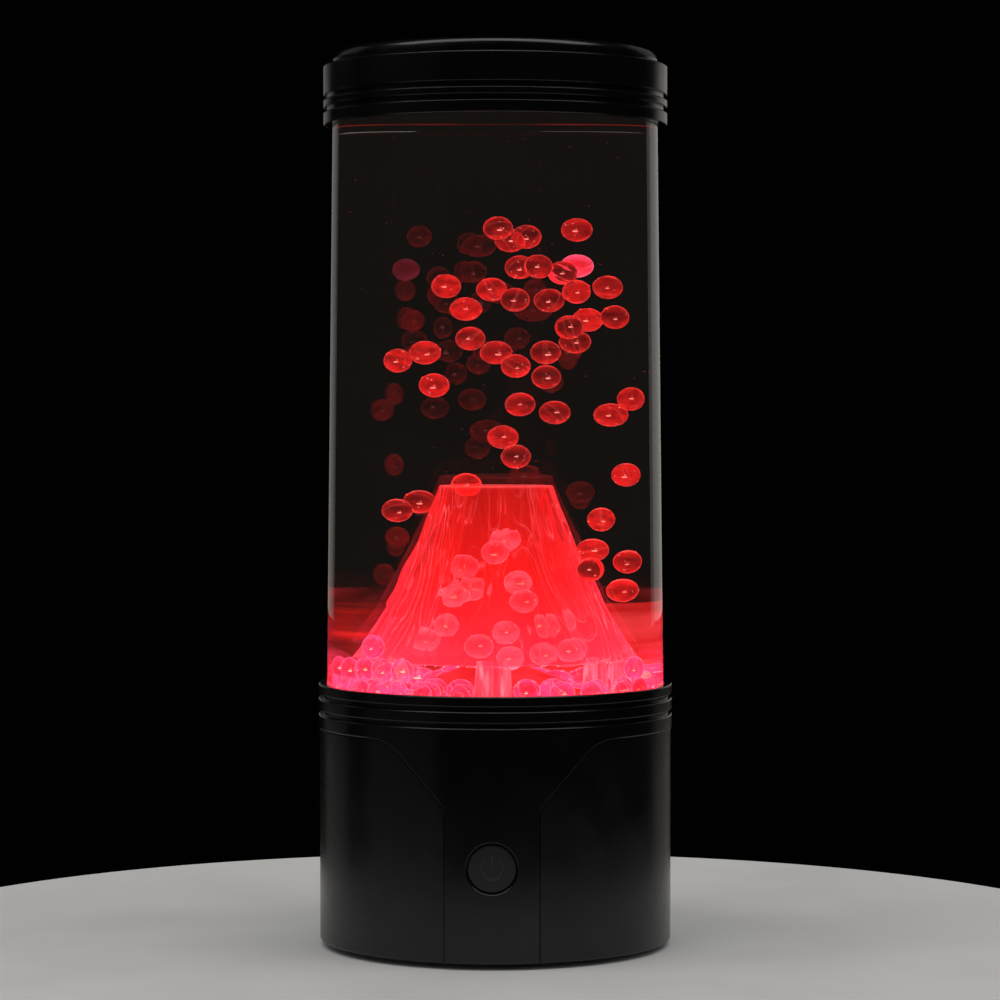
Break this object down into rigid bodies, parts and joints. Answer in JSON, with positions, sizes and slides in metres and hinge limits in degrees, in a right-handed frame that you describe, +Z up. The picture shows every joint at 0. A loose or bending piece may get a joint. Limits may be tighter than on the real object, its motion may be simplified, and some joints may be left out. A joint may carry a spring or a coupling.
{
  "type": "liquid motion lamp",
  "caption": "Round black lamp base with a power button, carrying a clear tapered water tank in which a lit red lava cone throws up plastic beads, closed by a black lid.",
  "frame": {"origin": "centre of the lamp's round footprint, on the surface that its rubber feet stand on", "axes": "+Z up along the tank, -Y towards the front with the power button, +X to the right as seen from the front, +Y towards the power socket"},
  "size_m": [0.1308, 0.1308, 0.3295],
  "materials": {
    "base_black": "fine satin texture",
    "collar_black": "smooth, semi-gloss",
    "lid_black": "smooth, semi-gloss",
    "button_black": "satin",
    "mark_grey": "printed, matte",
    "foot_rubber": "matte",
    "screw_steel": "zinc plated",
    "tank_clear": "clear, polished",
    "water": "clear liquid",
    "floor_clear": "frosted, passes light",
    "lava_red": "translucent, moulded lava flows",
    "bead_red": "translucent, moulded",
    "pump_clear": "translucent",
    "impeller_white": "smooth",
    "magnet_nickel": "nickel plated",
    "seal_rubber": "smooth",
    "deck_white": "smooth, reflective white",
    "board_green": "solder mask",
    "chip_black": "matte",
    "capacitor_can": "sleeved can",
    "header_white": "moulded",
    "led_red": "lit",
    "can_steel": "drawn",
    "bush_bronze": "sintered",
    "ferrite": "sintered",
    "bell_white": "moulded",
    "contact_brass": "plated",
    "shaft_steel": "ground",
    "winding_copper": "enamelled windings",
    "frame_grey": "moulded",
    "wire_red": "insulation",
    "wire_white": "insulation",
    "wire_grey": "insulation",
    "jack_black": "moulded",
    "plug_rubber": "smooth"
  },
  "bodies": {
    "lamp": {"rubber_feet": "foot_rubber", "bottom_cover": "base_black", "cover_screws": "screw_steel", "base_housing": "base_black", "base_collar": "collar_black", "collar_screws": "screw_steel", "push_switch": "chip_black", "switch_board": "board_green", "switch_board_screws": "screw_steel", "control_board": "board_green", "control_board_screws": "screw_steel", "board_chips": "chip_black", "board_capacitors": "capacitor_can", "wire_headers": "header_white", "dc_jack": "jack_black", "jack_pin": "contact_brass", "support_deck": "deck_white", "deck_screws": "screw_steel", "led_board": "header_white", "led_board_screws": "screw_steel", "leds": "led_red", "motor_can": "can_steel", "motor_bush": "bush_bronze", "field_magnets": "ferrite", "motor_end_bell": "bell_white", "motor_terminals": "contact_brass", "motor_bracket": "frame_grey", "bracket_screws": "screw_steel", "motor_screws": "screw_steel", "motor_wires": "wire_red", "led_wires": "wire_white", "switch_wires": "wire_grey", "tank_floor": "floor_clear", "tank_seal": "seal_rubber", "tank_shell": "tank_clear", "impeller_pin": "shaft_steel", "pump_cover": "pump_clear", "volcano": "lava_red", "beads_floating": "bead_red", "beads_resting": "bead_red", "beads_rising": "bead_red", "water": "water", "top_collar": "collar_black"},
    "button": {"power_button": "button_black", "power_mark": "mark_grey", "switch_plunger": "header_white"},
    "motor_rotor": {"motor_shaft": "shaft_steel", "motor_armature": "winding_copper", "magnet_carrier": "frame_grey", "drive_magnets": "magnet_nickel"},
    "pump_rotor": {"impeller": "impeller_white", "impeller_magnets": "magnet_nickel"},
    "lid_part": {"lid": "lid_black", "lid_seal": "seal_rubber"},
    "plug": {"filler_plug": "plug_rubber"}
  },
  "joints": [
    {"name": "button_press", "type": "slide", "parent": "lamp", "child": "button", "axis": [0, 1, 0], "range_m": [0, 0.0012], "stiffness_N_per_m": 400, "springref_m": -0.0025},
    {"name": "motor_spin", "type": "hinge", "parent": "lamp", "child": "motor_rotor", "pos_m": [0, 0, 0.055], "axis": [0, 0, 1], "continuous": true},
    {"name": "pump_spin", "type": "hinge", "parent": "lamp", "child": "pump_rotor", "pos_m": [0, 0, 0.088], "axis": [0, 0, 1], "continuous": true},
    {"name": "lid_lift", "type": "slide", "parent": "lamp", "child": "lid_part", "axis": [0, 0, 1], "range_m": [0, 0.04]},
    {"name": "plug_lift", "type": "slide", "parent": "lamp", "child": "plug", "axis": [0, 0, 1], "range_m": [0, 0.008]}
  ],
  "couplings": [
    {"joint": "pump_spin", "follows": "motor_spin", "ratio": 1}
  ]
}
